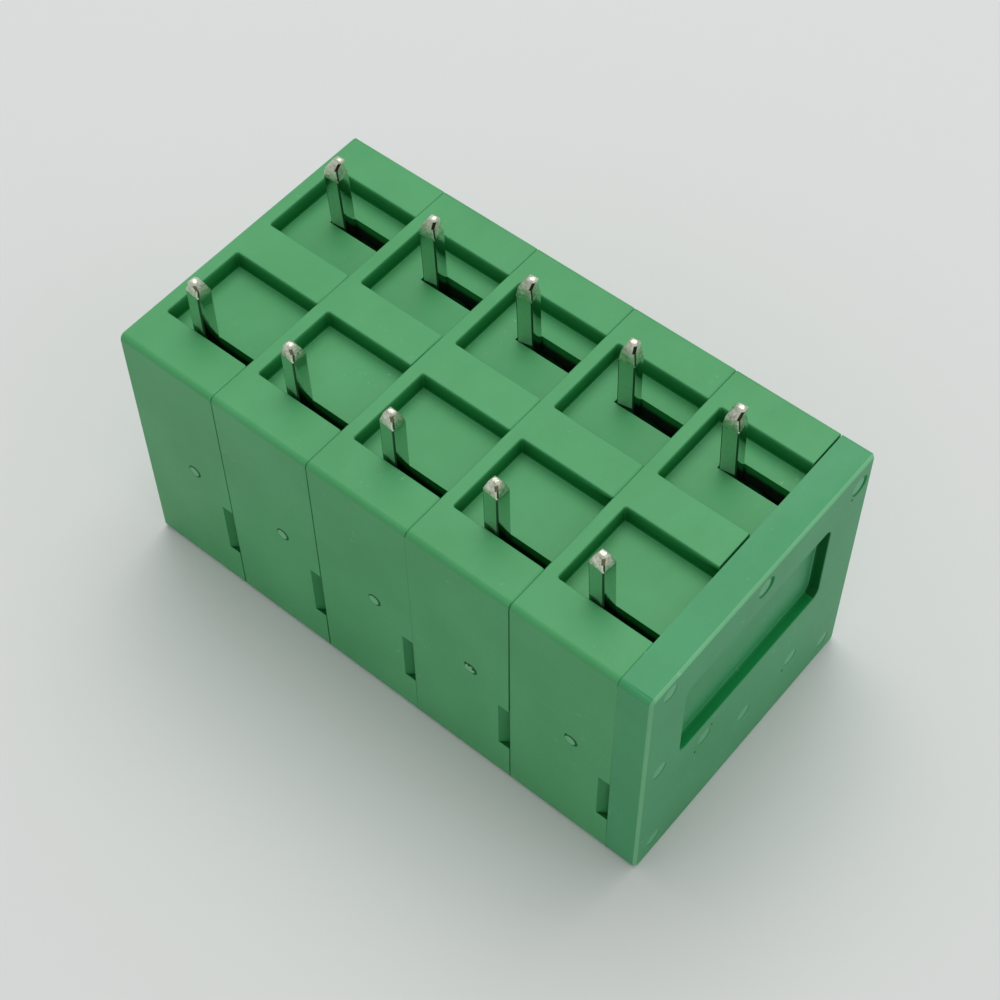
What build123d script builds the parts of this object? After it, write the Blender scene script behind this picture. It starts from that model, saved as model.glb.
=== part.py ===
from build123d import *
import os
from math import cos, radians, sin, tan

# Modular spring-clamp terminal block for a printed circuit board, in millimetres.
# It lies as it would on a bench: the solder pins point up (+Z) and it rests on the face
# that is uppermost on a board. X runs along the row of poles, the plain back wall faces
# -Y and the wire entries face +Y. Each pole is a moulded housing that is open on its
# right (+X) side, where the next housing closes it. An end plate closes the last one.

# Block
poles = 5
pitch = 5.0
block_depth = 14.1
block_height = 13.4
seam_gap = 0.02
end_plate_thickness = 1.5
body_edge_radius = 0.3
small_edge_radius = 0.25
board_edge_radius = 0.14
face_edge_chamfer = 0.05
plate_edge_chamfer = 0.12

# Housing walls
side_wall = 0.6
back_wall = 1.0
entry_wall = 1.6
lower_wall = 1.0
pocket_depth = 0.85
pocket_floor = 1.05
back_bar = 2.1
middle_bar = 1.95
entry_bar = 1.9

# Contact, one stamped strip with two solder pins
strip_thickness = 0.7
contact_side_gap = 0.2
contact_shoulder = 0.35
contact_corner_radius = 0.3
bend_radius = 0.5
pin_width = 0.75
pin_left = 1.95
pin_reach = 2.85
pin_tip_length = 0.75
pin_tip_taper = 15.0
slot_clearance = 0.06
entry_pin_setback = 1.14

# Wire entry
wire_bore_radius = 1.35
wire_mouth_flare = 0.6
wire_mouth_depth = 0.9
wire_bore_clearance = 0.05
collar_wall = 0.5
collar_contact_gap = 0.24

# Clamp spring, one bent strip of steel
spring_thickness = 0.35
spring_width = 3.2
spring_inner_radius = 0.95
spring_post_gap = 0.1
spring_lean = 30.0
spring_foot_length = 4.6
spring_tip_gap = 0.02
spring_stop_width = 0.6
spring_stop_height = 0.5

# Release button
button_travel = 1.2
button_gap = 0.08
button_recess = 0.3
button_sill = 2.5
button_web = 0.35
flange_thickness = 0.6
flange_lip = 0.25
flange_side_gap = 0.25
flange_spring_gap = 0.4
foot_height = 1.0
foot_width = 2.6
foot_spring_gap = 0.1
driver_slot_width = 0.7
driver_slot_depth = 0.4
driver_slot_length = 2.6

# Pegs and sockets that hold the housings to each other
peg_radius = 0.4
peg_sides = 6
peg_length = 0.85
peg_inset = 1.15
peg_boss_wall = 0.45
socket_clearance = 0.05
socket_end_gap = 0.1

# Pry notch in the back wall
notch_width = 0.55
notch_depth = 0.4
notch_low = 2.5
notch_high = 5.5

# Recessed panel of the end plate
panel_depth = 0.5
panel_back_inset = 2.35
panel_entry_inset = 2.5
panel_low = 6.5
panel_high = 11.15
panel_corner_radius = 0.4

# Places that follow from the sizes above
housing_width = pitch - seam_gap
block_length = poles * pitch + end_plate_thickness
cavity_ceiling = block_height - pocket_depth - pocket_floor
cavity_front = block_depth - entry_wall
clamp_axis = (side_wall + pitch) / 2
half_cavity = (pitch - side_wall) / 2
half_flange = half_cavity - flange_side_gap
half_button = half_flange - flange_lip
pocket_length = (block_depth - back_bar - middle_bar - entry_bar) / 2
pocket_starts = (back_bar, back_bar + pocket_length + middle_bar)
back_pin_y = back_bar + slot_clearance
entry_pin_y = block_depth - entry_bar - entry_pin_setback - strip_thickness
contact_end = entry_pin_y + strip_thickness
strip_underside = cavity_ceiling - strip_thickness
pin_top = block_height + pin_reach
wire_z = strip_underside - wire_bore_clearance - wire_bore_radius
wire_mouth_radius = wire_bore_radius + wire_mouth_flare
collar_end = contact_end + collar_contact_gap
spring_outer_radius = spring_inner_radius + spring_thickness
post_y = (
    cavity_front - flange_thickness - button_travel - flange_spring_gap - spring_outer_radius
)
post_z = lower_wall + spring_outer_radius
window_low = lower_wall + button_sill
window_high = wire_z - wire_mouth_radius - button_web
low_peg_places = ((peg_inset, peg_inset), (block_depth - peg_inset, peg_inset))
peg_places = low_peg_places + ((pocket_starts[1] - middle_bar / 2, block_height - peg_inset),)


def block(x, y, z):
    """Box between two corners, each argument a (low, high) pair."""
    size = (x[1] - x[0], y[1] - y[0], z[1] - z[0])
    return Pos(x[0], y[0], z[0]) * Box(*size, align=(Align.MIN, Align.MIN, Align.MIN))


def rod_x(y, z, x, radius):
    """Round bar along X at (y, z)."""
    return Pos((x[0] + x[1]) / 2, y, z) * Rot(0, 90, 0) * Cylinder(radius, x[1] - x[0])


def rod_y(x, z, y, radius):
    """Round bar along Y at (x, z)."""
    return Pos(x, (y[0] + y[1]) / 2, z) * Rot(90, 0, 0) * Cylinder(radius, y[1] - y[0])


def peg(y, z, x):
    """Many-sided peg along X at (y, z), a loose fit in its round socket."""
    outline = Pos(y, z) * RegularPolygon(peg_radius, peg_sides)
    return extrude(side_plane(x[0]) * outline, x[1] - x[0])


def side_plane(x):
    """Plane across the row of poles: its own x is Y and its own y is Z."""
    return Plane(origin=(x, 0, 0), x_dir=(0, 1, 0), z_dir=(1, 0, 0))


def edges_along_x(part, y, z):
    """The edges of a box that run along X through (y, z)."""
    return [
        edge
        for edge in part.edges().filter_by(Axis.X)
        if abs(edge.center().Y - y) < 1e-4 and abs(edge.center().Z - z) < 1e-4
    ]


def outer_body(width):
    """Rounded outer form shared by the housings and the end plate."""
    body = block((0, width), (0, block_depth), (0, block_height))
    body = fillet(edges_along_x(body, 0, block_height), body_edge_radius)
    body = fillet(edges_along_x(body, block_depth, block_height), board_edge_radius)
    lower = edges_along_x(body, 0, 0) + edges_along_x(body, block_depth, 0)
    return fillet(lower, small_edge_radius)


def spring_leg_y(z, offset=0.0):
    """Y of the clamping leg at height z, offset from its middle towards the wire entry."""
    lean = radians(spring_lean)
    middle = spring_outer_radius - spring_thickness / 2
    start_y = post_y + middle * cos(lean)
    start_z = post_z + middle * sin(lean)
    return start_y - (z - start_z) * tan(lean) + offset / cos(lean)


def wire_entry():
    """Straight bore and funnel mouth that lead a wire to the clamp."""
    bore = rod_y(clamp_axis, wire_z, (collar_end, block_depth), wire_bore_radius)
    funnel = Cone(wire_mouth_radius, wire_bore_radius, wire_mouth_depth)
    return bore + Pos(clamp_axis, block_depth - wire_mouth_depth / 2, wire_z) * Rot(90, 0, 0) * funnel


def pry_notch():
    """Wedge cut into the back wall's right edge, where a blade parts two housings."""
    wedge = Polyline(
        (housing_width - notch_width, 0),
        (housing_width, 0),
        (housing_width, notch_depth),
        close=True,
    )
    return Pos(0, 0, notch_low) * extrude(make_face(wedge), notch_high - notch_low)


def housing():
    """One moulded housing, open on its right side."""
    body = outer_body(housing_width)
    body = chamfer(body.faces().sort_by(Axis.X)[0].edges(), face_edge_chamfer)
    beyond = housing_width + seam_gap
    inside = (side_wall, beyond)
    body -= block(inside, (back_wall, cavity_front), (lower_wall, cavity_ceiling))

    # Solid corners that carry the pegs, and the post inside the spring's bend
    boss_radius = peg_radius + peg_boss_wall
    for y, z in low_peg_places:
        body += rod_x(y, z, (side_wall / 2, housing_width), boss_radius)
    post_end = clamp_axis + spring_width / 2 + spring_post_gap
    body += rod_x(post_y, post_z, (side_wall / 2, post_end), spring_inner_radius - spring_post_gap)
    stop_end = post_y - spring_foot_length - spring_post_gap
    body += block(
        (side_wall / 2, post_end),
        (stop_end - spring_stop_width, stop_end),
        (lower_wall / 2, lower_wall + spring_stop_height),
    )

    # Pockets in the board face, and the slots that the pins slide in through
    for start in pocket_starts:
        body -= block(
            inside,
            (start, start + pocket_length),
            (block_height - pocket_depth, block_height + pin_reach),
        )
    for pin_y in (back_pin_y, entry_pin_y):
        body -= block(
            (pin_left - slot_clearance, beyond),
            (pin_y - slot_clearance, pin_y + strip_thickness + slot_clearance),
            (cavity_ceiling - pocket_floor, block_height),
        )

    # Wire entry with its inner collar, and the window of the release button
    collar = (collar_end, block_depth - wire_mouth_depth)
    body += rod_y(clamp_axis, wire_z, collar, wire_bore_radius + collar_wall)
    body -= wire_entry()
    half_window = half_button + button_gap
    body -= block(
        (clamp_axis - half_window, clamp_axis + half_window),
        (cavity_front - flange_thickness, block_depth + button_recess),
        (window_low, window_high),
    )

    # Sockets on the left, pegs on the right
    for y, z in peg_places:
        body -= rod_x(y, z, (0, peg_length + socket_end_gap), peg_radius + socket_clearance)
        body += peg(y, z, (housing_width - side_wall, housing_width + peg_length))
    return body - pry_notch()


def end_plate():
    """Plate that closes the open side of the last housing."""
    body = outer_body(end_plate_thickness)
    body = chamfer(body.faces().sort_by(Axis.X)[-1].edges(), plate_edge_chamfer)
    panel_centre = (
        (panel_back_inset + block_depth - panel_entry_inset) / 2,
        (panel_low + panel_high) / 2,
    )
    outline = RectangleRounded(
        block_depth - panel_back_inset - panel_entry_inset,
        panel_high - panel_low,
        panel_corner_radius,
    )
    floor = side_plane(end_plate_thickness - panel_depth)
    body -= extrude(floor * Pos(*panel_centre) * outline, panel_depth)
    for y, z in peg_places:
        body -= rod_x(y, z, (0, peg_length + socket_end_gap), peg_radius + socket_clearance)
    return body


def solder_pin(y):
    """Square pin with a tapered tip, rising from the strip's bend at y."""
    shaft_top = pin_top - pin_tip_length
    width = (pin_left, pin_left + pin_width)
    shaft = block(width, (y, y + strip_thickness), (strip_underside, shaft_top))
    centre = (pin_left + pin_width / 2, y + strip_thickness / 2, shaft_top)
    section = Pos(*centre) * Rectangle(pin_width, strip_thickness)
    tip = extrude(section, pin_tip_length, taper=pin_tip_taper)
    return shaft + tip


def contact():
    """Stamped strip under the board face, bent up into a solder pin at each end."""
    narrow = block(
        (pin_left, pin_left + pin_width),
        (back_pin_y, contact_end),
        (strip_underside, cavity_ceiling),
    )
    part = narrow + solder_pin(back_pin_y) + solder_pin(entry_pin_y)
    bends = edges_along_x(part, back_pin_y, strip_underside)
    bends += edges_along_x(part, contact_end, strip_underside)
    part = fillet(bends, bend_radius)
    shoulder_low = back_pin_y + strip_thickness + contact_shoulder
    shoulder_high = entry_pin_y - contact_shoulder
    plate = block(
        (side_wall + contact_side_gap, pitch - contact_side_gap),
        (shoulder_low, shoulder_high),
        (strip_underside, cavity_ceiling),
    )
    return part + fillet(plate.edges().filter_by(Axis.Z), contact_corner_radius)


def clamp_spring():
    """Bent steel strip: a foot on the lower wall, a bend round the post and a clamping leg."""
    middle = spring_outer_radius - spring_thickness / 2
    lean = radians(spring_lean)
    foot_z = lower_wall + spring_thickness / 2
    tip_z = strip_underside - spring_tip_gap - sin(lean) * spring_thickness / 2
    bend_start = (post_y, foot_z)
    bend_middle = (
        post_y + middle * cos((lean - radians(90)) / 2),
        post_z + middle * sin((lean - radians(90)) / 2),
    )
    bend_end = (post_y + middle * cos(lean), post_z + middle * sin(lean))
    foot = Line((post_y - spring_foot_length, foot_z), bend_start)
    bend = ThreePointArc(bend_start, bend_middle, bend_end)
    leg = Line(bend_end, (spring_leg_y(tip_z), tip_z))
    strip = trace([foot, bend, leg], spring_thickness)
    return extrude(side_plane(clamp_axis - spring_width / 2) * strip, spring_width)


def release_button():
    """Plunger in the entry wall whose foot pushes the clamping leg open."""
    front = block_depth - button_recess
    head = block(
        (clamp_axis - half_button, clamp_axis + half_button),
        (cavity_front - flange_thickness, front),
        (window_low + button_gap, window_high - button_gap),
    )
    head = fillet(head.faces().sort_by(Axis.Y)[-1].edges(), small_edge_radius)
    flange = block(
        (clamp_axis - half_flange, clamp_axis + half_flange),
        (cavity_front - flange_thickness, cavity_front),
        (window_low - flange_lip, window_high + flange_lip),
    )
    foot_top = window_high - button_gap
    foot_low = foot_top - foot_height
    reach = spring_thickness / 2 + foot_spring_gap
    outline = Polyline(
        (cavity_front - flange_thickness / 2, foot_low),
        (cavity_front - flange_thickness / 2, foot_top),
        (spring_leg_y(foot_top, reach), foot_top),
        (spring_leg_y(foot_low, reach), foot_low),
        close=True,
    )
    foot = extrude(side_plane(clamp_axis - foot_width / 2) * make_face(outline), foot_width)
    head_middle = (window_low + window_high) / 2
    driver_slot = block(
        (clamp_axis - driver_slot_width / 2, clamp_axis + driver_slot_width / 2),
        (front - driver_slot_depth, front),
        (head_middle - driver_slot_length / 2, head_middle + driver_slot_length / 2),
    )
    return head + flange + foot - driver_slot


def place(part, index):
    """Move a part from its pole's own corner to its place in the block."""
    return Pos(index * pitch - block_length / 2, -block_depth / 2, 0) * part


def main():
    os.makedirs("parts", exist_ok=True)
    makers = {
        "housing": housing,
        "contact": contact,
        "clamp_spring": clamp_spring,
        "release_button": release_button,
    }
    for name, make in makers.items():
        part = make()
        for index in range(poles):
            export_step(place(part, index), f"parts/{name}_{index + 1}.step")
    export_step(place(end_plate(), poles), "parts/end_plate.step")


main()
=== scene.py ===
import math
import bmesh
import bpy
from mathutils import Matrix, Vector


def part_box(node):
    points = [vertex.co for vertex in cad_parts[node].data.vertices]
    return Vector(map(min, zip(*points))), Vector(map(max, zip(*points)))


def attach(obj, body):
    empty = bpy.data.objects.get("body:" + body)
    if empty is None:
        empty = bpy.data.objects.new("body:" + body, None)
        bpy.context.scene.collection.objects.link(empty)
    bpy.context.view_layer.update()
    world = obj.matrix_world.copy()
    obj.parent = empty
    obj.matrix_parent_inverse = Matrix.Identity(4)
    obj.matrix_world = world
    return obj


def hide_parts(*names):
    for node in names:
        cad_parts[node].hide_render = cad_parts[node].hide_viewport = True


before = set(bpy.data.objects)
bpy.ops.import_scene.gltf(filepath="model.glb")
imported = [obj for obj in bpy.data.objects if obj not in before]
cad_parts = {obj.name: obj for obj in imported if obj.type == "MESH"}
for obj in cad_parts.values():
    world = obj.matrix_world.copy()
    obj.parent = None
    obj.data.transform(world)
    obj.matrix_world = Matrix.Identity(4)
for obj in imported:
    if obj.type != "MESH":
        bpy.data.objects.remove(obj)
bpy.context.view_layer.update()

mm = 0.001


# Shader maths


class Wire:
    # A shader socket that takes part in plain Python maths
    def __init__(self, shader, socket):
        self.shader = shader
        self.socket = socket

    def maths(self, operation, *values):
        return self.shader.add("ShaderNodeMath", {"operation": operation}, dict(enumerate(values)))

    def __add__(self, other):
        return self.maths("ADD", self, other)

    def __sub__(self, other):
        return self.maths("SUBTRACT", self, other)

    def __rsub__(self, other):
        return self.maths("SUBTRACT", other, self)

    def __mul__(self, other):
        return self.maths("MULTIPLY", self, other)

    def __truediv__(self, other):
        return self.maths("DIVIDE", self, other)

    __radd__ = __add__
    __rmul__ = __mul__


class Shader:
    # One material whose nodes are added by type, settings and sockets
    def __init__(self, name):
        self.material = bpy.data.materials.new(name)
        self.material.use_nodes = True
        self.nodes = self.material.node_tree.nodes
        self.links = self.material.node_tree.links
        self.surface = self.nodes["Principled BSDF"]
        self.place = self.add("ShaderNodeTexCoord", {}, {}, "Object")

    def add(self, kind, settings, sockets, output=0):
        node = self.nodes.new(kind)
        for name, value in settings.items():
            if name == "stops":
                self.setStops(node, value)
            else:
                setattr(node, name, value)
        for name, value in sockets.items():
            self.connect(node.inputs[name], value)
        return Wire(self, node.outputs[output])

    def setStops(self, node, stops):
        elements = node.color_ramp.elements
        while len(elements) < len(stops):
            elements.new(0.5)
        for element, (position, level) in zip(elements, stops):
            element.position = position
            element.color = (level, level, level, 1)

    def connect(self, socket, value):
        if isinstance(value, Wire):
            self.links.new(value.socket, socket)
        elif socket.type == "RGBA":
            socket.default_value = (*value[:3], 1)
        else:
            socket.default_value = value

    def finish(self, **sockets):
        for name, value in sockets.items():
            self.connect(self.surface.inputs[name.replace("_", " ")], value)
        return self.material

    def noise(self, scale, detail=3, roughness=0.55, place=None):
        sockets = {"Vector": place or self.place, "Scale": scale, "Detail": detail, "Roughness": roughness}
        return self.add("ShaderNodeTexNoise", {}, sockets, "Fac")

    def stretched(self, scale):
        return self.add("ShaderNodeMapping", {}, {"Vector": self.place, "Scale": scale})

    def ramp(self, value, *stops):
        return self.add("ShaderNodeValToRGB", {"stops": stops}, {"Fac": value})

    def mix(self, factor, first, second):
        # Sockets 6 and 7 take the colours, and output 2 gives the mixed one
        return self.add("ShaderNodeMix", {"data_type": "RGBA"}, {0: factor, 6: first, 7: second}, 2)

    def height(self):
        # Height above the floor in millimetres
        return self.add("ShaderNodeSeparateXYZ", {}, {"Vector": self.place}, "Z") / mm

    def bump(self, height, strength, distance, normal=None):
        sockets = {"Height": height, "Strength": strength, "Distance": distance}
        if normal:
            sockets["Normal"] = normal
        return self.add("ShaderNodeBump", {}, sockets)


# Finishes

plasticGreens = {
    "housing": {"base": (0.061, 0.352, 0.122), "shade": (0.050, 0.318, 0.103), "pale": (0.115, 0.420, 0.182)},
    "endPlate": {"base": (0.043, 0.325, 0.123), "shade": (0.034, 0.288, 0.104), "pale": (0.170, 0.430, 0.235)},
    # Below: the rubbed pale green is real wear and also a painted highlight; the dim, wall and deep greens are
    # painted shade
    "wearAndHighlight": {"base": (0.150, 0.460, 0.225), "shade": (0.110, 0.410, 0.180), "pale": (0.240, 0.520, 0.310)},
    "dimShade": {"base": (0.030, 0.235, 0.075), "shade": (0.024, 0.210, 0.064), "pale": (0.050, 0.280, 0.105)},
    "wall": {"base": (0.007, 0.255, 0.065), "shade": (0.004, 0.215, 0.045), "pale": (0.020, 0.300, 0.095)},
    "mark": {"base": (0.125, 0.420, 0.210), "shade": (0.095, 0.385, 0.180), "pale": (0.210, 0.480, 0.280)},
    "deepShade": {"base": (0.004, 0.115, 0.022), "shade": (0.003, 0.095, 0.018), "pale": (0.010, 0.140, 0.034)},
}

plasticLook = {
    "rubbed": (0.46, 0.62, 0.50),
    "rubbedRoughness": 0.15,
    "grainScale": 9000,
    "grainHeight": 0.000004,
    "swellScale": 900,
    "swellHeight": 0.00002,
    "roughness": (0.42, 0.56),
    "satin": 0.45,
    "recessGloss": 0.12,
}

recessLook = {
    "rimLevel": 13.34,
    "footLevel": 12.62,
    # Painted shade in the pockets and the inside: the walls' foot colour, the inside's near black and the slot
    # rims' green
    "deepShade": (0.002, 0.150, 0.026),
    "inside": (0.001, 0.008, 0.002),
    "insidePale": (0.004, 0.030, 0.008),
    "slotRim": (0.005, 0.260, 0.040),
    "slotDark": 12.15,
    "slotFade": 0.2,
}


def plasticTone(shader, colours, scuff):
    # Moulded colour with flow marks and, where it is scuffed, pale rubbed specks
    cloud = shader.noise(260, 3)
    flow = shader.noise(420, 4, 0.6, shader.stretched((1.0, 0.25, 0.25)))
    tone = shader.mix(shader.ramp(cloud, (0.35, 0), (0.68, 1)), colours["shade"], colours["base"])
    tone = shader.mix(shader.ramp(flow, (0.45, 0), (0.8, 1)) * 0.25, tone, colours["pale"])
    specks = shader.ramp(shader.noise(2600, 5, 0.7), (0.62, 0), (0.74, 1))
    patches = shader.ramp(shader.noise(330, 3), (0.5, 0), (0.66, 1))
    rubbed = specks * patches * scuff
    return shader.mix(rubbed, tone, plasticLook["rubbed"]), rubbed


def finishPlastic(shader, tone, rubbed, gloss):
    # Satin surface: a fine spark-eroded grain over a very slight swell
    look = plasticLook
    grain = shader.noise(look["grainScale"], 3)
    swell = shader.noise(look["swellScale"], 2)
    low, high = look["roughness"]
    roughness = grain * (high - low) + low + rubbed * look["rubbedRoughness"]
    normal = shader.bump(grain, 0.55, look["grainHeight"])
    normal = shader.bump(swell, 0.35, look["swellHeight"], normal)
    return shader.finish(
        Base_Color=tone, Roughness=roughness, Normal=normal, IOR=1.5, Specular_IOR_Level=gloss,
    )


def makePlastic(name, green, scuff, gloss=plasticLook["satin"]):
    shader = Shader(name)
    tone, rubbed = plasticTone(shader, plasticGreens[green], scuff)
    return finishPlastic(shader, tone, rubbed, gloss)


def makeRecess(name, green):
    # Pocket walls with painted shade: the moulded colour darkens from the rim to the foot
    shader = Shader(name)
    tone, rubbed = plasticTone(shader, plasticGreens[green], 0.1)
    drop = recessLook["rimLevel"] - recessLook["footLevel"]
    depth = (recessLook["rimLevel"] - shader.height()) / drop
    depth = shader.ramp(depth, (0.0, 0), (0.3, 0.7), (1.0, 1))
    tone = shader.mix(depth, tone, recessLook["deepShade"])
    return finishPlastic(shader, tone, rubbed, plasticLook["recessGloss"])


def makeInside():
    # Painted shade for the moulding's inside, seen only through slots and openings: near black, turning green
    # towards the slots' rims
    look = recessLook
    shader = Shader("insideShadeGreen")
    cloud = shader.noise(900, 3)
    tone = shader.mix(cloud, look["inside"], look["insidePale"])
    lift = (shader.height() + cloud * 0.2 - look["slotDark"]) / look["slotFade"]
    tone = shader.mix(shader.ramp(lift, (0, 0), (1, 1)), tone, look["slotRim"])
    normal = shader.bump(shader.noise(5000, 3), 0.3, 0.000004)
    return shader.finish(Base_Color=tone, Roughness=cloud * 0.1 + 0.6, Normal=normal)


metalLook = {
    "light": (0.66, 0.66, 0.63),
    "dull": (0.50, 0.49, 0.44),
    "tipLight": (0.82, 0.86, 0.75),
    "tipDull": (0.50, 0.52, 0.38),
    # The next three colours are painted dark reflections on the pins: near black, brownish and dark green
    "pit": (0.022, 0.010, 0.005),
    "brownReflection": (0.130, 0.115, 0.065),
    "edge": (0.016, 0.060, 0.026),
    "speck": (0.16, 0.11, 0.07),
    "steelDark": (0.50, 0.50, 0.49),
    "steelPale": (0.66, 0.66, 0.65),
}


def makeTin(name, light, dull, roughness, mottle, rough):
    # Tin plate, drawn along the pin. mottle and rough go up on the cut tips
    shader = Shader(name)
    drawn = shader.noise(2600, 3, 0.6, shader.stretched((1.0, 1.0, 0.06)))
    spots = shader.noise(5200, 4, 0.65)
    dulled = shader.ramp(spots, (0.36, 0), (0.64, 1)) * mottle
    tone = shader.mix(dulled, metalLook[light], metalLook[dull])
    specks = shader.ramp(shader.noise(7600, 3), (0.62, 0), (0.70, 1))
    tone = shader.mix(specks * mottle * 0.8, tone, metalLook["speck"])
    normal = shader.bump(drawn, 0.25, 0.000006)
    normal = shader.bump(spots, rough, 0.00004, normal)
    low, high = roughness
    return shader.finish(Base_Color=tone, Metallic=1.0, Roughness=drawn * (high - low) + low, Normal=normal)


def makeReflectionMetal(name, kind, roughness):
    # Dark, spotted metal for the painted reflections on the pins
    dark = metalLook[kind]
    shader = Shader(name)
    spots = shader.noise(6000, 3)
    tone = shader.mix(spots, dark, tuple(level * 1.8 for level in dark))
    normal = shader.bump(spots, 0.5, 0.00001)
    return shader.finish(Base_Color=tone, Metallic=0.7, Roughness=spots * 0.2 + roughness, Normal=normal)


def makeSpringSteel():
    # Bright strip steel, rolled along its length
    shader = Shader("springSteel")
    rolled = shader.noise(2200, 4, 0.6, shader.stretched((1.0, 0.08, 0.08)))
    tone = shader.mix(rolled, metalLook["steelDark"], metalLook["steelPale"])
    normal = shader.bump(rolled, 0.3, 0.000006)
    return shader.finish(Base_Color=tone, Metallic=1.0, Roughness=rolled * 0.2 + 0.2, Normal=normal)


housingGreen = makePlastic("housingGreen", "housing", 0.35)
buttonGreen = makePlastic("buttonGreen", "housing", 0.3)
endPlateGreen = makePlastic("endPlateGreen", "endPlate", 0.9)
# The rubbed green is real wear and also a painted highlight; the dim, wall and deep greens are painted shade
wearAndHighlightGreen = makePlastic("wearAndHighlightGreen", "wearAndHighlight", 0.6)
dimShadeGreen = makePlastic("dimShadeGreen", "dimShade", 0.1, 0.2)
wallShadeGreen = makePlastic("wallShadeGreen", "wall", 0.1, 0.12)
markGreen = makePlastic("markGreen", "mark", 0.8)
deepShadeGreen = makePlastic("deepShadeGreen", "deepShade", 0.0, 0.1)
pocketShadeGreen = makeRecess("pocketShadeGreen", "housing")
insideShadeGreen = makeInside()
tinPlate = makeTin("tinPlate", "light", "dull", (0.05, 0.16), 0.25, 0.12)
tinTip = makeTin("tinTip", "tipLight", "tipDull", (0.26, 0.46), 0.9, 0.9)
# Painted dark reflections on the pins
pinEdgeReflection = makeReflectionMetal("pinEdgeReflection", "edge", 0.3)
pinDarkReflection = makeReflectionMetal("pinDarkReflection", "pit", 0.45)
pinBrownReflection = makeReflectionMetal("pinBrownReflection", "brownReflection", 0.4)
springSteel = makeSpringSteel()
finishes = {
    "housing": housingGreen,
    "end_plate": endPlateGreen,
    "release_button": buttonGreen,
    "contact": tinPlate,
    "clamp_spring": springSteel,
}
print("finishes made")


# Pieces carried over from the frame


def kindOf(node):
    return node.rstrip("12345").rstrip("_")


def selectOnly(piece):
    bpy.ops.object.select_all(action="DESELECT")
    piece.select_set(True)
    bpy.context.view_layer.objects.active = piece


for node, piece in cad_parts.items():
    piece.data.materials.clear()
    piece.data.materials.append(finishes[kindOf(node)])
print("frame nodes dressed")


# Modelling tools

meshing = {
    "weld": 0.002,
    "flatAngle": 0.4,
    "level": 0.004,
    "place": 0.01,
    "smoothAngle": 32,
    "cutterSides": 28,
    "cutterLength": 1.0,
}


def near(value, target, reach=meshing["place"]):
    return abs(value - target) < reach


def inZone(place, zone):
    # Whether a place lies in a zone, given as its low and high x, y and z
    return all(low < value < high for value, (low, high) in zip(place, zone))


def edgeEnds(edge, corner):
    return [point.co / mm - corner for point in edge.verts]


def copyNode(node, name):
    # A node's mesh in a new piece, welded and with its flat faces joined
    piece = bpy.data.objects.new(name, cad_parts[node].data.copy())
    bpy.context.scene.collection.objects.link(piece)
    selectOnly(piece)
    bpy.ops.object.mode_set(mode="EDIT")
    bpy.ops.mesh.select_all(action="SELECT")
    bpy.ops.mesh.remove_doubles(threshold=meshing["weld"] * mm)
    bpy.ops.mesh.dissolve_limited(angle_limit=math.radians(meshing["flatAngle"]))
    bpy.ops.object.mode_set(mode="OBJECT")
    return piece


def pickParts(piece, kind, test):
    # In edit mode, selects the vertices, edges or faces that pass the test
    bpy.ops.mesh.select_mode(type=kind)
    bpy.ops.mesh.select_all(action="DESELECT")
    form = bmesh.from_edit_mesh(piece.data)
    parts = {"VERT": form.verts, "EDGE": form.edges, "FACE": form.faces}[kind]
    for part in parts:
        if test(part):
            part.select_set(True)
    bmesh.update_edit_mesh(piece.data)


def bevelEdges(piece, test, width, segments, material=None):
    def onSeamless(edge):
        return len(edge.link_faces) == 2 and test(edge)

    selectOnly(piece)
    bpy.ops.object.mode_set(mode="EDIT")
    pickParts(piece, "EDGE", onSeamless)
    bpy.ops.mesh.bevel(
        offset=width * mm, segments=segments, profile=0.5, affect="EDGES",
        clamp_overlap=True, material=finishIndex(piece, material) if material else 0,
    )
    bpy.ops.object.mode_set(mode="OBJECT")


def pickPlaces(piece, test):
    # In edit mode, selects the vertices whose places pass the test
    pickParts(piece, "VERT", lambda point: test(point.co / mm))


def slidePlaces(piece, test, shift):
    # Moves the vertices whose places pass the test
    selectOnly(piece)
    bpy.ops.object.mode_set(mode="EDIT")
    pickPlaces(piece, test)
    bpy.ops.transform.translate(value=tuple(step * mm for step in shift))
    bpy.ops.object.mode_set(mode="OBJECT")


def finishIndex(piece, material):
    return piece.data.materials.find(material.name)


def setFinishes(piece, *materials):
    piece.data.materials.clear()
    for material in materials:
        piece.data.materials.append(material)


def paintFaces(piece, test, material):
    # Gives the faces that pass the test another of the piece's finishes
    for face in piece.data.polygons:
        if test(face.center / mm, face.normal):
            face.material_index = finishIndex(piece, material)


def flattenFaces(piece, test):
    # Shades the faces that pass the test flat, so that no split in them shows
    bpy.ops.object.mode_set(mode="EDIT")
    pickParts(piece, "FACE", lambda face: test(face.calc_center_median() / mm, face.normal))
    bpy.ops.mesh.faces_shade_flat()
    bpy.ops.object.mode_set(mode="OBJECT")


def smoothShade(piece, angle=meshing["smoothAngle"], isFlat=None):
    selectOnly(piece)
    bpy.ops.object.shade_smooth_by_angle(angle=math.radians(angle))
    if isFlat:
        flattenFaces(piece, isFlat)
    bpy.ops.object.modifier_add(type="WEIGHTED_NORMAL")
    weighted = piece.modifiers[-1]
    weighted.keep_sharp = True
    bpy.ops.object.modifier_apply(modifier=weighted.name)


def repeatPiece(piece, name, across):
    # A copy with its own mesh, moved along the row
    other = piece.copy()
    other.data = piece.data.copy()
    other.name = name
    bpy.context.scene.collection.objects.link(other)
    other.data.transform(Matrix.Translation(Vector((across, 0, 0)) * mm))
    return other


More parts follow.
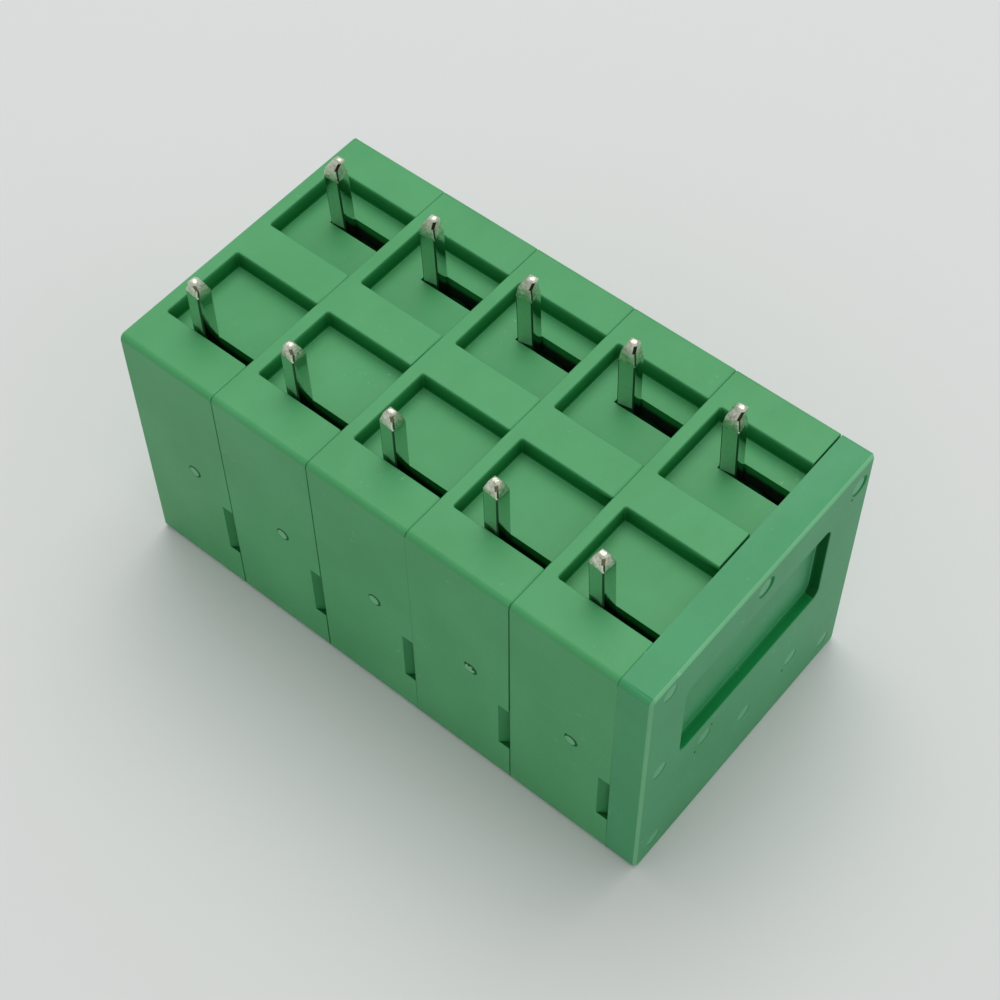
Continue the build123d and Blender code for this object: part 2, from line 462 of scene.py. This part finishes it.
def sinkMark(piece, place, turn, radius):
    # Cuts a round mark into a face. place is the cutter's middle, and turn points its end
    bpy.ops.object.select_all(action="DESELECT")
    bpy.ops.mesh.primitive_cylinder_add(
        vertices=meshing["cutterSides"], radius=radius * mm, depth=meshing["cutterLength"] * mm,
        location=place * mm, rotation=turn,
    )
    cutter = bpy.context.object
    selectOnly(piece)
    bpy.ops.object.modifier_add(type="BOOLEAN")
    cut = piece.modifiers[-1]
    cut.operation = "DIFFERENCE"
    cut.solver = "EXACT"
    cut.object = cutter
    bpy.ops.object.modifier_apply(modifier=cut.name)
    bpy.data.objects.remove(cutter)


def cutterShift(depth):
    # How far in front of a face the middle of a cutter stands that sinks to a depth
    return meshing["cutterLength"] / 2 - depth


# Housings: worn pocket rims, rounded pocket feet, marked back walls

housingShape = {
    "pitch": 5.0,
    "height": 13.4,
    "floorLevel": 12.55,
    "pocketLeft": 0.6,
    "pocketLeast": 0.8,
    "cornerBevel": 0.10,
    "footFillet": 0.09,
    "rimBevel": 0.07,
    "slotBevel": 0.045,
    "sideBevel": 0.11,
    "sideLevel": 4.98,
    "sharpAngle": 60,
    "roundReach": 0.31,
    "notchTop": 5.6,
    "bore": (2.8, 9.4),
    "boreReach": 1.4,
    "boreRange": (11.2, 13.15),
    "lipLevel": 11,
    "slotRim": (12.5, 12.56),
}

# Zones from a housing's corner, each as its low and high x, y and z
housingZones = {
    "pocketEdges": ((0.4, 4.95), (1.0, 13.1), (12.5, 13.45)),
    "pocketWalls": ((0.5, 4.95), (1.5, 12.6), (12.56, 13.33)),
    "inside": ((0.5, 4.95), (0.95, 12.45), (0.9, 12.53)),
    "notch": ((4.3, 4.97), (0.02, 0.8), (2.4, 5.6)),
}

# The round mark on the back wall: a shallow ring with a disc pressed in off its middle
housingMark = {
    "place": (3.05, 0.0, 6.8),
    "radius": 0.33,
    "depth": 0.010,
    "discRadius": 0.25,
    "discShift": (-0.065, 0.004, -0.075),
    "wallReach": 0.37,
    "wallDepth": 0.06,
    "ringFloor": (0.006, 0.012),
    "discFloor": (0.012, 0.06),
    "pitRadius": 0.06,
    "pitReach": 0.08,
    "pitShift": -0.36,
    "pitFloor": (0.37, 0.6),
}

# Pits in the marks of two housings, across and up from the mark's middle
markPits = {4: ((-0.25, 0.22), (-0.10, 0.12), (0.10, 0.02)), 5: ((-0.24, 0.22),)}

# How far each housing's right side moves out: on the three bars from the wire entries
# to the back wall, and down the back wall
seamShift = {
    1: {"entry": 0.018, "middle": 0.019, "back": 0.018, "upper": 0.012, "notch": 0.014, "low": -0.006},
    2: {"entry": 0.018, "middle": 0.017, "back": 0.019, "upper": 0.014, "notch": 0.006, "low": -0.006},
    3: {"entry": 0.018, "middle": 0.018, "back": 0.018, "upper": 0.019, "notch": 0.018, "low": 0.018},
    4: {"entry": 0.017, "middle": 0.018, "back": 0.017, "upper": 0.006, "notch": -0.020, "low": 0.006},
    5: {"entry": -0.055, "middle": -0.072, "back": 0.018, "upper": 0.018, "notch": 0.012, "low": 0.016},
}

seamShape = {
    "ranges": {
        "entry": ((12.1, 14.2), (12.4, 13.5)),
        "middle": ((6.1, 8.2), (12.4, 13.5)),
        "back": ((0.2, 2.2), (12.4, 13.5)),
        "upper": ((-0.1, 0.2), (6.0, 13.5)),
        "notch": ((-0.1, 0.2), (5.4, 5.6)),
        "low": ((-0.1, 0.2), (-0.1, 0.4)),
    },
    "closedReach": 0.01,
    "openReach": 0.05,
    "openFrom": -0.02,
    "openSeam": 5,
    "rowReach": 0.012,
    "rowRanges": ((0.1, 14), (13.33, 13.41)),
    "chamfer": 0.05,
    "chamferFill": -0.045,
    "filledHousing": 4,
}

# Rows of the rounding on top of the bars: place across, and how far each row moves
seamRows = ((4.941, (-0.065, 0, 0)), (4.969, (-0.030, 0, 0.001)), (4.990, (0, 0, 0.006)))

backTurn = (math.radians(90), 0, 0)


def housingCorner(index):
    low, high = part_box(f"housing_{index}")
    return Vector(low) / mm


def pocketCorner(edge, corner):
    # Upright inner corners of the pockets
    shape = housingShape
    first, second = edgeEnds(edge, corner)
    low, high = sorted((first.z, second.z))
    inPocket = low > shape["floorLevel"] - 0.05 and high < shape["height"] + 0.05
    tall = high - low > shape["pocketLeast"]
    return inPocket and tall and near((first.x + second.x) / 2, shape["pocketLeft"])


def wallBeside(edge):
    # The upright face that meets a level face at this edge, or none
    first, second = edge.link_faces
    for level, upright in ((first, second), (second, first)):
        if level.normal.z > 0.99 and abs(level.normal.z) > abs(upright.normal.z) + 0.7:
            return upright
    return None


def pocketEdge(edge, corner, level, rising):
    # Edges round the pockets at one level, with a wall that rises there or drops
    first, second = edgeEnds(edge, corner)
    if not all(near(end.z, level, meshing["level"]) for end in (first, second)):
        return False
    if not inZone((first + second) / 2, housingZones["pocketEdges"]):
        return False
    wall = wallBeside(edge)
    if wall is None:
        return False
    return (wall.calc_center_median().z / mm - corner.z > level) == rising


def sideEdge(edge, corner):
    # Edges of the bars and of the back wall on the open right side
    shape = housingShape
    ends = edgeEnds(edge, corner)
    if not all(near(end.x, shape["sideLevel"], meshing["level"]) for end in ends):
        return False
    onTop = all(near(end.z, shape["height"], shape["roundReach"]) for end in ends)
    onBack = all(end.y < shape["roundReach"] and end.z > shape["notchTop"] for end in ends)
    sharp = edge.calc_face_angle(0) > math.radians(shape["sharpAngle"])
    outward = min(face.normal.x for face in edge.link_faces) > -0.2
    return sharp and outward and (onTop or onBack)


def fillCorner(piece, corner):
    # Fills out the chamfer down the left of the back wall, so that the seam there hardly shows
    def onChamfer(place):
        local = place - corner
        return near(local.x, 0) and near(local.y, seamShape["chamfer"])

    slidePlaces(piece, onChamfer, (0, seamShape["chamferFill"], 0))


def softenSeam(piece, corner):
    # Widens the rounding on top of the bars, so that the seam there is a soft groove
    for across, step in seamRows:
        reach = seamShape["rowReach"]
        zone = ((across - reach, across + reach), *seamShape["rowRanges"])
        slidePlaces(piece, lambda place: inZone(place - corner, zone), step)


def setSeam(piece, index):
    # Closes or opens the seam on a housing's right side, place by place
    shape = seamShape
    corner = housingCorner(index)
    level = housingShape["sideLevel"]
    for name, shift in seamShift[index].items():
        reach = shape["openReach"] if shift < shape["openFrom"] else shape["closedReach"]
        zone = ((level - reach, level + reach), *shape["ranges"][name])
        slidePlaces(piece, lambda place: inZone(place - corner, zone), (shift, 0, 0))
    if index != shape["openSeam"]:
        softenSeam(piece, corner)
    if index == shape["filledHousing"]:
        fillCorner(piece, corner)


def paintHousing(piece, corner):
    # Painted shade on the pocket walls, the closed inside, the wire entry and the notch, darkest on the
    # notch's upward faces; the slots' front rims paler
    shape = housingShape
    boreAcross, boreLevel = shape["bore"]
    boreStart, boreEnd = shape["boreRange"]
    rimLow, rimHigh = shape["slotRim"]

    def inPocket(centre, normal):
        return inZone(centre - corner, housingZones["pocketWalls"]) and abs(normal.z) < 0.9

    def inEntry(centre, normal):
        place = centre - corner
        inBore = math.hypot(place.x - boreAcross, place.z - boreLevel) < shape["boreReach"]
        return inBore and boreStart < place.y < boreEnd

    def isInside(centre, normal):
        place = centre - corner
        onLip = normal.x > 0.99 and place.z > shape["lipLevel"]
        return inZone(place, housingZones["inside"]) and not onLip and not inEntry(centre, normal)

    def inNotch(centre, normal):
        return inZone(centre - corner, housingZones["notch"])

    def onSlotRim(centre, normal):
        return rimLow < centre.z - corner.z < rimHigh and normal.y > 0.3 and normal.z > 0.3

    paintFaces(piece, inPocket, pocketShadeGreen)
    paintFaces(piece, isInside, insideShadeGreen)
    paintFaces(piece, inEntry, dimShadeGreen)
    paintFaces(piece, inNotch, dimShadeGreen)
    paintFaces(piece, lambda centre, normal: inNotch(centre, normal) and normal.z > 0.5, deepShadeGreen)
    paintFaces(piece, onSlotRim, markGreen)


def markDistance(place, mark):
    return math.hypot(place.x - mark.x, place.z - mark.z)


def addMark(piece, mark):
    # Cuts the back wall's mark, and paints a shadow on its ring floor and a highlight on its walls and disc
    # floor
    shape = housingMark
    inward = Vector((0, -cutterShift(shape["depth"]), 0))
    sinkMark(piece, mark + inward, backTurn, shape["radius"])
    sinkMark(piece, mark + inward + Vector(shape["discShift"]), backTurn, shape["discRadius"])

    def onWall(centre, normal):
        shallow = centre.y - mark.y < shape["wallDepth"]
        return markDistance(centre, mark) < shape["wallReach"] and abs(normal.y) < 0.4 and shallow

    def onFloor(centre, normal, floor):
        low, high = shape[floor]
        facing = normal.y < -0.9 and low < centre.y - mark.y < high
        return facing and markDistance(centre, mark) < shape["radius"]

    paintFaces(piece, onWall, wearAndHighlightGreen)
    paintFaces(piece, lambda centre, normal: onFloor(centre, normal, "ringFloor"), deepShadeGreen)
    paintFaces(piece, lambda centre, normal: onFloor(centre, normal, "discFloor"), wearAndHighlightGreen)


def addPit(piece, pit):
    # Cuts a small pit into the mark, with painted shade on its floor
    shape = housingMark
    low, high = shape["pitFloor"]
    sinkMark(piece, pit, backTurn, shape["pitRadius"])

    def inPit(centre, normal):
        return markDistance(centre, pit) < shape["pitReach"] and low < centre.y - pit.y < high

    paintFaces(piece, inPit, deepShadeGreen)


def makeHousing():
    shape = housingShape
    corner = housingCorner(1)
    piece = copyNode("housing_1", "housingShell_1")
    setFinishes(piece, housingGreen, pocketShadeGreen, insideShadeGreen, wearAndHighlightGreen, dimShadeGreen, deepShadeGreen, markGreen)

    def isFoot(edge):
        return pocketEdge(edge, corner, shape["floorLevel"], True)

    def isRim(edge):
        return pocketEdge(edge, corner, shape["height"], False)

    def isSlotRim(edge):
        return pocketEdge(edge, corner, shape["floorLevel"], False)

    bevelEdges(piece, lambda edge: pocketCorner(edge, corner), shape["cornerBevel"], 3)
    bevelEdges(piece, isFoot, shape["footFillet"], 4)
    bevelEdges(piece, isRim, shape["rimBevel"], 3)
    bevelEdges(piece, isSlotRim, shape["slotBevel"], 2)
    bevelEdges(piece, lambda edge: sideEdge(edge, corner), shape["sideBevel"], 2)
    paintHousing(piece, corner)
    addMark(piece, corner + Vector(housingMark["place"]))
    return piece


housings = [makeHousing()]
for index in range(2, 6):
    across = (index - 1) * housingShape["pitch"]
    housings.append(repeatPiece(housings[0], f"housingShell_{index}", across))
for index, piece in enumerate(housings, 1):
    setSeam(piece, index)
    mark = housingCorner(index) + Vector(housingMark["place"])
    for across, rise in markPits.get(index, ()):
        addPit(piece, mark + Vector((across, housingMark["pitShift"], rise)))
    smoothShade(piece)
    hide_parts(f"housing_{index}")
    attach(piece, "block")
print("housings made")


# End plate: rounded panel, worn edges with a painted highlight, painted shade on the panel's walls, and round
# marks

plateShape = {
    "rimBevel": 0.07,
    "footFillet": 0.14,
    "panelFloor": 1.0,
    "thickness": 1.5,
    "depth": 14.1,
    "height": 13.4,
    "smoothAngle": 40,
    "faceReach": 0.002,
    "panelZone": ((0.9, 1.6), (1.5, 12.5), (5.5, 12)),
    "wallZone": ((1.0, 1.47), (1.2, 12.9), (5.0, 12.6)),
    "wearAndHighlightEdge": 0.2,
}

plateMark = {
    "radius": 0.5,
    "depth": 0.02,
    "discRadius": 0.4,
    "discShift": (-0.012, -0.10, 0.07),
    "reach": 0.3,
    "ringFloor": (0.01, 0.026),
    "discFloor": (0.026, 0.05),
    "plainFloor": (0.01, 0.05),
    "pitRadius": 0.06,
    "pitDepth": 0.06,
    "pitReach": 0.065,
    "pitMiddle": -0.05,
}

# Marks on the plate's face: place along the depth and height, whether the lower
# right edge is pressed in, and the pits as steps from the mark's middle
plateMarks = (
    (13.28, 12.18, True, ((-0.42, -0.50),)),
    (7.09, 12.50, True, ()),
    (1.16, 12.70, False, ()),
    (4.05, 5.40, False, ((0.47, 0.30), (-0.54, -0.55))),
    (7.00, 3.14, False, ()),
    (10.28, 3.28, False, ((-0.50, -0.44),)),
    (1.01, 7.02, False, ()),
    (1.14, 1.12, False, ()),
    (13.04, 1.16, False, ()),
)

sideTurn = (0, math.radians(90), 0)


def panelEdge(edge, corner, depth, rising):
    # The panel's edges at one depth, with a wall that rises there or drops
    ends = edgeEnds(edge, corner)
    if not all(near(end.x, depth, meshing["level"]) for end in ends):
        return False
    if not all(inZone(end, plateShape["panelZone"]) for end in ends):
        return False
    first, second = edge.link_faces
    for flat, upright in ((first, second), (second, first)):
        if flat.normal.x > 0.99 and abs(upright.normal.x) < 0.3:
            return (upright.calc_center_median().x / mm - corner.x > depth) == rising
    return False


def paintPlate(piece, corner):
    # Outer edges worn and given a painted highlight, and painted shade on the panel's walls, darkest on those
    # facing -y
    shape = plateShape

    def onEdge(centre, normal):
        place = centre - corner
        margin = min(place.y, place.z, shape["depth"] - place.y, shape["height"] - place.z)
        outside = margin < shape["wearAndHighlightEdge"] and place.x > shape["thickness"] - shape["wearAndHighlightEdge"]
        return outside and 0.4 < normal.x < 0.9

    def onWall(centre, normal):
        return inZone(centre - corner, shape["wallZone"]) and normal.x < 0.75

    paintFaces(piece, onEdge, wearAndHighlightGreen)
    paintFaces(piece, onWall, wallShadeGreen)
    paintFaces(piece, lambda centre, normal: onWall(centre, normal) and normal.y < -0.3, deepShadeGreen)


def addPlateMark(piece, face, pressed, pits):
    # Cuts a mark at a place on the plate's face, paints its disc paler, and paints a shadow on the pressed
    # ring's floor and shade in its pits
    shape = plateMark
    outward = Vector((cutterShift(shape["depth"]), 0, 0))
    disc = face
    if pressed:
        sinkMark(piece, face + outward, sideTurn, shape["radius"])
        disc = face + Vector(shape["discShift"])
    sinkMark(piece, disc + outward, sideTurn, shape["discRadius"])
    for step, lift in pits:
        pit = face + Vector((cutterShift(shape["pitDepth"]), step, lift))
        sinkMark(piece, pit, sideTurn, shape["pitRadius"])

    def onFloor(centre, normal, floor):
        low, high = shape[floor]
        close = math.hypot(centre.y - face.y, centre.z - face.z) < shape["reach"]
        return close and normal.x > 0.9 and low < face.x - centre.x < high

    if pressed:
        paintFaces(piece, lambda centre, normal: onFloor(centre, normal, "ringFloor"), wallShadeGreen)
        paintFaces(piece, lambda centre, normal: onFloor(centre, normal, "discFloor"), markGreen)
    else:
        paintFaces(piece, lambda centre, normal: onFloor(centre, normal, "plainFloor"), markGreen)
    for step, lift in pits:
        pit = face + Vector((shape["pitMiddle"], step, lift))
        paintFaces(piece, lambda centre, normal: (centre - pit).length < shape["pitReach"], deepShadeGreen)


def makeEndPlate():
    shape = plateShape
    corner = Vector(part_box("end_plate")[0]) / mm
    faceLevel = corner.x + shape["thickness"]
    piece = copyNode("end_plate", "endPlateShell")

    def isFoot(edge):
        return panelEdge(edge, corner, shape["panelFloor"], True)

    def isRim(edge):
        return panelEdge(edge, corner, shape["thickness"], False)

    def onFace(centre, normal):
        return normal.x > 0.9999 and near(centre.x, faceLevel, shape["faceReach"])

    bevelEdges(piece, isFoot, shape["footFillet"], 4)
    bevelEdges(piece, isRim, shape["rimBevel"], 2)
    setFinishes(piece, endPlateGreen, wearAndHighlightGreen, wallShadeGreen, deepShadeGreen, markGreen)
    paintPlate(piece, corner)
    for along, rise, pressed, pits in plateMarks:
        addPlateMark(piece, corner + Vector((shape["thickness"], along, rise)), pressed, pits)
    smoothShade(piece, shape["smoothAngle"], onFace)
    return piece


endPlate = makeEndPlate()
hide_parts("end_plate")
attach(endPlate, "block")
print("end plate made")


# Contacts: bright pins with softened edges and blunt, hand-cut tips

pinShape = {
    "baseLevel": 12.4,
    "shaftLevel": 11.3,
    "edgeLevel": 11.6,
    "edgeBevel": 0.055,
    "tipBevel": 0.10,
    "cornerCut": 0.10,
    "cornerReach": 0.3,
    "reflectionLength": 0.40,
    "tipLength": 0.75,
    "tipReach": 0.13,
    "kneeReach": 0.09,
    "tipDrop": -0.02,
    "rows": {"front": 2.16, "rear": 10.36},
    "thickness": 0.7,
    "left": 1.95,
    "width": 0.75,
    "sharpAngle": 30,
    "smoothAngle": 50,
    "rowReach": 0.6,
    "leanParts": (0.766, 0.643),
}

# How each pin stands. turn is in degrees and lean, in radians, to the picture's left.
# base is the shift of its foot, knee how far the start of the tip drops, and tip the
# tip's own shift
pinStance = {
    ("rear", 1): {"turn": 4.0, "lean": 0.045, "base": (-0.015, -0.010), "knee": 0.14, "tip": (0.14, 0.14)},
    ("rear", 2): {"turn": 6.0, "lean": 0.025, "base": (0.020, 0.016), "knee": 0.11, "tip": (0.08, 0.08)},
    ("rear", 3): {"turn": 8.0, "lean": 0.025, "base": (0.000, -0.010), "knee": 0.18, "tip": (0.13, 0.11)},
    ("rear", 4): {"turn": 7.0, "lean": 0.018, "base": (0.008, 0.006), "knee": 0.24, "tip": (0.05, 0.08)},
    ("rear", 5): {"turn": 6.0, "lean": 0.038, "base": (-0.030, -0.020), "knee": 0.20, "tip": (0.13, 0.18)},
    ("front", 1): {"turn": -6.0, "lean": 0.000, "base": (0.011, 0.009), "knee": -0.10, "tip": (-0.02, -0.12)},
    ("front", 2): {"turn": -6.0, "lean": 0.014, "base": (0.055, 0.045), "knee": -0.10, "tip": (-0.01, -0.08)},
    ("front", 3): {"turn": -4.0, "lean": 0.010, "base": (0.065, 0.030), "knee": -0.05, "tip": (0.02, -0.05)},
    ("front", 4): {"turn": -5.0, "lean": 0.010, "base": (0.060, 0.045), "knee": -0.10, "tip": (0.02, -0.04)},
    ("front", 5): {"turn": -6.0, "lean": 0.035, "base": (0.050, 0.035), "knee": -0.12, "tip": (0.03, 0.00)},
}


def tipLevels():
    # Height of the pins' tops, and of the knees where the tips start
    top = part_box("contact_1")[1].z / mm
    return top, top - pinShape["tipLength"]


def steepEdge(edge, low, slope):
    # Steep sharp edges of the pins above a level
    start, end = sorted((point.co / mm for point in edge.verts), key=lambda place: place.z)
    if start.z < low or edge.calc_face_angle(0) < math.radians(pinShape["sharpAngle"]):
        return False
    run = end - start
    return abs(run.z) > slope * run.length


def tipCorner(edge, kneeLevel):
    # The tip's slanting edge between its right and its back-wall side
    low = kneeLevel - pinShape["cornerReach"]
    left, right = sorted((face.normal for face in edge.link_faces), key=lambda normal: normal.x)
    above = min(point.co.z for point in edge.verts) / mm > low
    return above and right.x > 0.6 and left.y < -0.6 and steepEdge(edge, low, 0.6)


def bisectLevel(piece, level):
    selectOnly(piece)
    bpy.ops.object.mode_set(mode="EDIT")
    bpy.ops.mesh.select_all(action="SELECT")
    bpy.ops.mesh.bisect(plane_co=(0, 0, level * mm), plane_no=(0, 0, 1))
    bpy.ops.object.mode_set(mode="OBJECT")


def paintTips(piece, tipLevel, kneeLevel):
    # Rough cut tips, and painted dark reflections: near black at the top of the tip's corner in the front row,
    # brownish in the rear row, and dark green lower on that corner and down the pins' back edges
    darkIndex = finishIndex(piece, pinDarkReflection)
    darkLevel = tipLevel - pinShape["reflectionLength"]
    for face in piece.data.polygons:
        height = face.center.z / mm
        cut = face.material_index == darkIndex
        if height > kneeLevel + 0.05 and not (cut and height > darkLevel):
            onCorner = cut and face.normal.x > abs(face.normal.y)
            face.material_index = finishIndex(piece, pinEdgeReflection if onCorner else tinTip)

    def onEdge(centre, normal):
        towardsBack = normal.y < -0.25 and abs(normal.x) > 0.25 and abs(normal.z) < 0.2
        return towardsBack and pinShape["edgeLevel"] < centre.z < kneeLevel

    paintFaces(piece, onEdge, pinEdgeReflection)
    for face in piece.data.polygons:
        if face.material_index == darkIndex and face.center.y < 0:
            face.material_index = finishIndex(piece, pinBrownReflection)


def makeContact():
    shape = pinShape
    tipLevel, kneeLevel = tipLevels()
    piece = copyNode("contact_1", "contactStrip_1")
    setFinishes(piece, tinPlate, tinTip, pinEdgeReflection, pinDarkReflection, pinBrownReflection)

    def isShaft(edge):
        return steepEdge(edge, shape["shaftLevel"], 0.7) and edge.verts[0].co.z / mm < kneeLevel + 0.02

    def onTop(edge):
        return all(near(point.co.z / mm, tipLevel, meshing["level"]) for point in edge.verts)

    bisectLevel(piece, shape["baseLevel"])
    bisectLevel(piece, tipLevel - shape["reflectionLength"])
    # The tip's corner cut takes the painted dark reflection
    bevelEdges(piece, lambda edge: tipCorner(edge, kneeLevel), shape["cornerCut"], 2, pinDarkReflection)
    bevelEdges(piece, isShaft, shape["edgeBevel"], 2)
    bevelEdges(piece, onTop, shape["tipBevel"], 3, tinTip)
    paintTips(piece, tipLevel, kneeLevel)
    smoothShade(piece, shape["smoothAngle"])
    return piece


def standPin(piece, row, index):
    # Sets one pin as it stands in the block
    shape = pinShape
    stance = pinStance[(row, index)]
    corner = housingCorner(index)
    middleX = corner.x + shape["left"] + shape["width"] / 2
    middleY = corner.y + shape["rows"][row] + shape["thickness"] / 2
    tipLevel, kneeLevel = tipLevels()

    def inRow(place):
        return near(place.y, middleY, shape["rowReach"])

    def onTip(place):
        return inRow(place) and place.z > tipLevel - shape["tipReach"]

    def onKnee(place):
        return inRow(place) and near(place.z, kneeLevel, shape["kneeReach"])

    slidePlaces(piece, onTip, (*stance["tip"], shape["tipDrop"]))
    slidePlaces(piece, onKnee, (0, 0, -stance["knee"]))
    selectOnly(piece)
    bpy.ops.object.mode_set(mode="EDIT")
    pickPlaces(piece, lambda place: inRow(place) and place.z > shape["baseLevel"] - meshing["place"])
    base = (middleX * mm, middleY * mm, shape["baseLevel"] * mm)
    acrossPart, alongPart = shape["leanParts"]
    turns = (
        ("Z", math.radians(-stance["turn"])),
        ("Y", stance["lean"] * acrossPart),
        ("X", -stance["lean"] * alongPart),
    )
    for axis, angle in turns:
        bpy.ops.transform.rotate(value=angle, orient_axis=axis, center_override=base)
    shiftX, shiftY = stance["base"]
    bpy.ops.transform.translate(value=(shiftX * mm, shiftY * mm, 0))
    bpy.ops.object.mode_set(mode="OBJECT")


contacts = [makeContact()]
for index in range(2, 6):
    across = (index - 1) * housingShape["pitch"]
    contacts.append(repeatPiece(contacts[0], f"contactStrip_{index}", across))
for index, piece in enumerate(contacts, 1):
    standPin(piece, "front", index)
    standPin(piece, "rear", index)
    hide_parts(f"contact_{index}")
    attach(piece, "block")
print("contacts made")


# Camera, as fitted to the photograph

cameraFit = {
    "target": (-2.4731, 3.5091, 0.0),
    "azimuth": 40.0911,
    "elevation": 55.1224,
    "roll": -0.7176,
    "distance": 94.2857,
    "focalPixels": 2082.868,
    "pictureWidth": 1000,
    "sensorWidth": 36,
    "clip": (0.005, 5),
}


def addCamera():
    azimuth = math.radians(cameraFit["azimuth"])
    elevation = math.radians(cameraFit["elevation"])
    roll = math.radians(cameraFit["roll"])
    back = Vector((
        math.sin(azimuth) * math.cos(elevation),
        -math.cos(azimuth) * math.cos(elevation),
        math.sin(elevation),
    ))
    across = Vector((0, 0, 1)).cross(back).normalized()
    up = back.cross(across)
    right = across * math.cos(roll) + up * math.sin(roll)
    top = up * math.cos(roll) - across * math.sin(roll)
    place = (Vector(cameraFit["target"]) + back * cameraFit["distance"]) * mm
    bpy.ops.object.camera_add()
    camera = bpy.context.object
    camera.data.sensor_width = cameraFit["sensorWidth"]
    camera.data.lens = cameraFit["focalPixels"] * cameraFit["sensorWidth"] / cameraFit["pictureWidth"]
    camera.data.clip_start, camera.data.clip_end = cameraFit["clip"]
    camera.matrix_world = Matrix((
        (right.x, top.x, back.x, place.x),
        (right.y, top.y, back.y, place.y),
        (right.z, top.z, back.z, place.z),
        (0, 0, 0, 1),
    ))
    bpy.context.scene.camera = camera


addCamera()
print("camera placed")


# Floor and light

studio = {
    "floorColour": (0.74, 0.755, 0.745),
    "fibreColour": (0.64, 0.67, 0.67),
    "fibreShare": 0.12,
    "floorLevel": -0.00002,
    "floorSize": 1.2,
    "worldColour": (0.985, 0.99, 1.0),
    "worldStrength": 0.57,
    "lampAim": (0, 0, 0.006),
    "lamps": (
        {
            "name": "keyLamp", "place": (-0.07, 0.12, 0.36),
            "size": 0.34, "power": 0.68, "colour": (1.0, 0.995, 0.98),
        },
        {
            "name": "fillLamp", "place": (0.26, 0.06, 0.16),
            "size": 0.20, "power": 0.04, "colour": (0.97, 0.99, 1.0),
        },
    ),
}


def addFloor():
    shader = Shader("paleFloor")
    fibres = shader.noise(700, 4)
    tone = shader.mix(fibres * studio["fibreShare"], studio["floorColour"], studio["fibreColour"])
    material = shader.finish(Base_Color=tone, Roughness=0.85, Specular_IOR_Level=0.2)
    bpy.ops.object.select_all(action="DESELECT")
    bpy.ops.mesh.primitive_plane_add(size=studio["floorSize"], location=(0, 0, studio["floorLevel"]))
    floor = bpy.context.object
    floor.name = "floor"
    bpy.ops.object.transform_apply(location=True, rotation=True, scale=True)
    floor.data.materials.append(material)


def addLamps():
    for settings in studio["lamps"]:
        bpy.ops.object.light_add(type="AREA", location=settings["place"])
        lamp = bpy.context.object
        lamp.name = settings["name"]
        lamp.data.shape = "DISK"
        lamp.data.size = settings["size"]
        lamp.data.energy = settings["power"]
        lamp.data.color = settings["colour"]
        aim = Vector(studio["lampAim"]) - lamp.location
        lamp.rotation_euler = aim.to_track_quat("-Z", "Y").to_euler()


def setWorld():
    world = bpy.data.worlds.new("studioWorld")
    bpy.context.scene.world = world
    world.use_nodes = True
    backdrop = world.node_tree.nodes["Background"]
    backdrop.inputs["Color"].default_value = (*studio["worldColour"], 1)
    backdrop.inputs["Strength"].default_value = studio["worldStrength"]
    bpy.context.scene.view_settings.view_transform = "Standard"


addFloor()
addLamps()
setWorld()
print("floor and light set")
